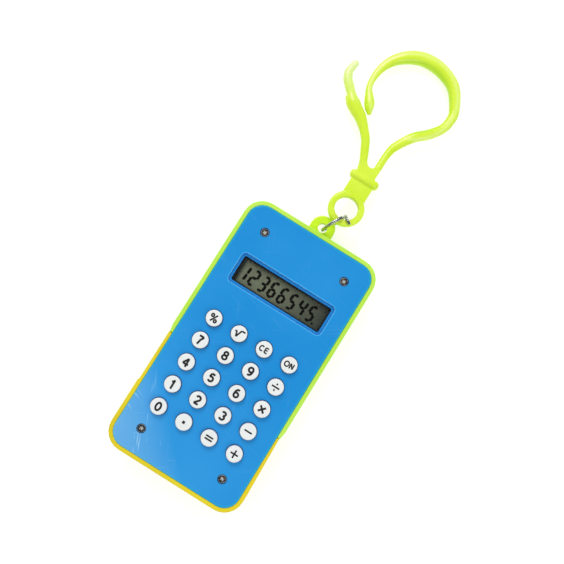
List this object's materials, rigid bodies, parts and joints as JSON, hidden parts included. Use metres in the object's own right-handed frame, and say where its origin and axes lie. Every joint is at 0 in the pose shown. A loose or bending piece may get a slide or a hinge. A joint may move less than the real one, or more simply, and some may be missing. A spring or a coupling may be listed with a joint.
{
  "type": "keychain calculator",
  "caption": "Pocket calculator with round push keys and a small display, hung by its top edge from a jump ring and a snap hook with a springy gate.",
  "frame": {"origin": "centre of the flat back face, under the middle of the case", "axes": "+Z out of the key face, +Y along the case towards the hook, +X across the case to its right"},
  "size_m": [0.05, 0.1712, 0.0137],
  "materials": {
    "green_plastic": "moulded, semi-gloss",
    "yellow_plastic": "moulded, semi-gloss",
    "blue_plastic": "glossy, finely scratched",
    "key_plastic": "satin, printed legends",
    "lime_plastic": "glossy, slightly translucent",
    "black_plastic": "satin",
    "clear_plastic": "clear, glossy",
    "display_glass": "olive grey, satin",
    "grey_rubber": "matt",
    "board_laminate": "solder mask, satin",
    "chip_resin": "satin",
    "cell_steel": "bright",
    "contact_brass": "bright",
    "screw_steel": "dark, worn bright in the cross",
    "ring_steel": "polished wire"
  },
  "bodies": {
    "case": {"upper_case": "green_plastic", "lower_case": "yellow_plastic", "front_plate": "blue_plastic", "display_window": "clear_plastic", "lcd_frame": "black_plastic", "lcd_glass": "display_glass", "zebra_strip": "grey_rubber", "circuit_board": "board_laminate", "chip_cover": "chip_resin", "key_mat": "grey_rubber", "button_cell": "cell_steel", "positive_contact": "contact_brass", "negative_contact": "contact_brass", "case_screw_upper_left": "screw_steel", "case_screw_upper_right": "screw_steel", "case_screw_lower_left": "screw_steel", "case_screw_lower_right": "screw_steel", "board_screw_high_left": "screw_steel", "board_screw_high_right": "screw_steel", "board_screw_low_left": "screw_steel", "board_screw_low_right": "screw_steel"},
    "key_percent": {"key_percent": "key_plastic"},
    "key_square_root": {"key_square_root": "key_plastic"},
    "key_clear_entry": {"key_clear_entry": "key_plastic"},
    "key_on": {"key_on": "key_plastic"},
    "key_7": {"key_7": "key_plastic"},
    "key_8": {"key_8": "key_plastic"},
    "key_9": {"key_9": "key_plastic"},
    "key_divide": {"key_divide": "key_plastic"},
    "key_4": {"key_4": "key_plastic"},
    "key_5": {"key_5": "key_plastic"},
    "key_6": {"key_6": "key_plastic"},
    "key_times": {"key_times": "key_plastic"},
    "key_1": {"key_1": "key_plastic"},
    "key_2": {"key_2": "key_plastic"},
    "key_3": {"key_3": "key_plastic"},
    "key_minus": {"key_minus": "key_plastic"},
    "key_0": {"key_0": "key_plastic"},
    "key_point": {"key_point": "key_plastic"},
    "key_equals": {"key_equals": "key_plastic"},
    "key_plus": {"key_plus": "key_plastic"},
    "ring": {"jump_ring": "ring_steel"},
    "hook": {"hook_body": "lime_plastic"},
    "gate": {"hook_gate": "lime_plastic"}
  },
  "joints": [
    {"name": "key_percent_press", "type": "slide", "parent": "case", "child": "key_percent", "axis": [0, 0, -1], "range_m": [0, 0.0008], "stiffness_N_per_m": 600},
    {"name": "key_square_root_press", "type": "slide", "parent": "case", "child": "key_square_root", "axis": [0, 0, -1], "range_m": [0, 0.0008], "stiffness_N_per_m": 600},
    {"name": "key_clear_entry_press", "type": "slide", "parent": "case", "child": "key_clear_entry", "axis": [0, 0, -1], "range_m": [0, 0.0008], "stiffness_N_per_m": 600},
    {"name": "key_on_press", "type": "slide", "parent": "case", "child": "key_on", "axis": [0, 0, -1], "range_m": [0, 0.0008], "stiffness_N_per_m": 600},
    {"name": "key_7_press", "type": "slide", "parent": "case", "child": "key_7", "axis": [0, 0, -1], "range_m": [0, 0.0008], "stiffness_N_per_m": 600},
    {"name": "key_8_press", "type": "slide", "parent": "case", "child": "key_8", "axis": [0, 0, -1], "range_m": [0, 0.0008], "stiffness_N_per_m": 600},
    {"name": "key_9_press", "type": "slide", "parent": "case", "child": "key_9", "axis": [0, 0, -1], "range_m": [0, 0.0008], "stiffness_N_per_m": 600},
    {"name": "key_divide_press", "type": "slide", "parent": "case", "child": "key_divide", "axis": [0, 0, -1], "range_m": [0, 0.0008], "stiffness_N_per_m": 600},
    {"name": "key_4_press", "type": "slide", "parent": "case", "child": "key_4", "axis": [0, 0, -1], "range_m": [0, 0.0008], "stiffness_N_per_m": 600},
    {"name": "key_5_press", "type": "slide", "parent": "case", "child": "key_5", "axis": [0, 0, -1], "range_m": [0, 0.0008], "stiffness_N_per_m": 600},
    {"name": "key_6_press", "type": "slide", "parent": "case", "child": "key_6", "axis": [0, 0, -1], "range_m": [0, 0.0008], "stiffness_N_per_m": 600},
    {"name": "key_times_press", "type": "slide", "parent": "case", "child": "key_times", "axis": [0, 0, -1], "range_m": [0, 0.0008], "stiffness_N_per_m": 600},
    {"name": "key_1_press", "type": "slide", "parent": "case", "child": "key_1", "axis": [0, 0, -1], "range_m": [0, 0.0008], "stiffness_N_per_m": 600},
    {"name": "key_2_press", "type": "slide", "parent": "case", "child": "key_2", "axis": [0, 0, -1], "range_m": [0, 0.0008], "stiffness_N_per_m": 600},
    {"name": "key_3_press", "type": "slide", "parent": "case", "child": "key_3", "axis": [0, 0, -1], "range_m": [0, 0.0008], "stiffness_N_per_m": 600},
    {"name": "key_minus_press", "type": "slide", "parent": "case", "child": "key_minus", "axis": [0, 0, -1], "range_m": [0, 0.0008], "stiffness_N_per_m": 600},
    {"name": "key_0_press", "type": "slide", "parent": "case", "child": "key_0", "axis": [0, 0, -1], "range_m": [0, 0.0008], "stiffness_N_per_m": 600},
    {"name": "key_point_press", "type": "slide", "parent": "case", "child": "key_point", "axis": [0, 0, -1], "range_m": [0, 0.0008], "stiffness_N_per_m": 600},
    {"name": "key_equals_press", "type": "slide", "parent": "case", "child": "key_equals", "axis": [0, 0, -1], "range_m": [0, 0.0008], "stiffness_N_per_m": 600},
    {"name": "key_plus_press", "type": "slide", "parent": "case", "child": "key_plus", "axis": [0, 0, -1], "range_m": [0, 0.0008], "stiffness_N_per_m": 600},
    {"name": "ring_swing", "type": "hinge", "parent": "case", "child": "ring", "pos_m": [0.0003, 0.04965, 0.0056], "axis": [0, 0, 1], "range_deg": [-30, 50]},
    {"name": "hook_swing", "type": "hinge", "parent": "ring", "child": "hook", "pos_m": [0.00441, 0.05765, 0.0056], "axis": [0, 0, 1], "range_deg": [-40, 40]},
    {"name": "gate_flex", "type": "hinge", "parent": "hook", "child": "gate", "pos_m": [-0.00015, 0.0768, 0.00576], "axis": [0, 0.0783, 0.9969], "range_deg": [0, 18], "stiffness_Nm_per_rad": 0.5}
  ]
}
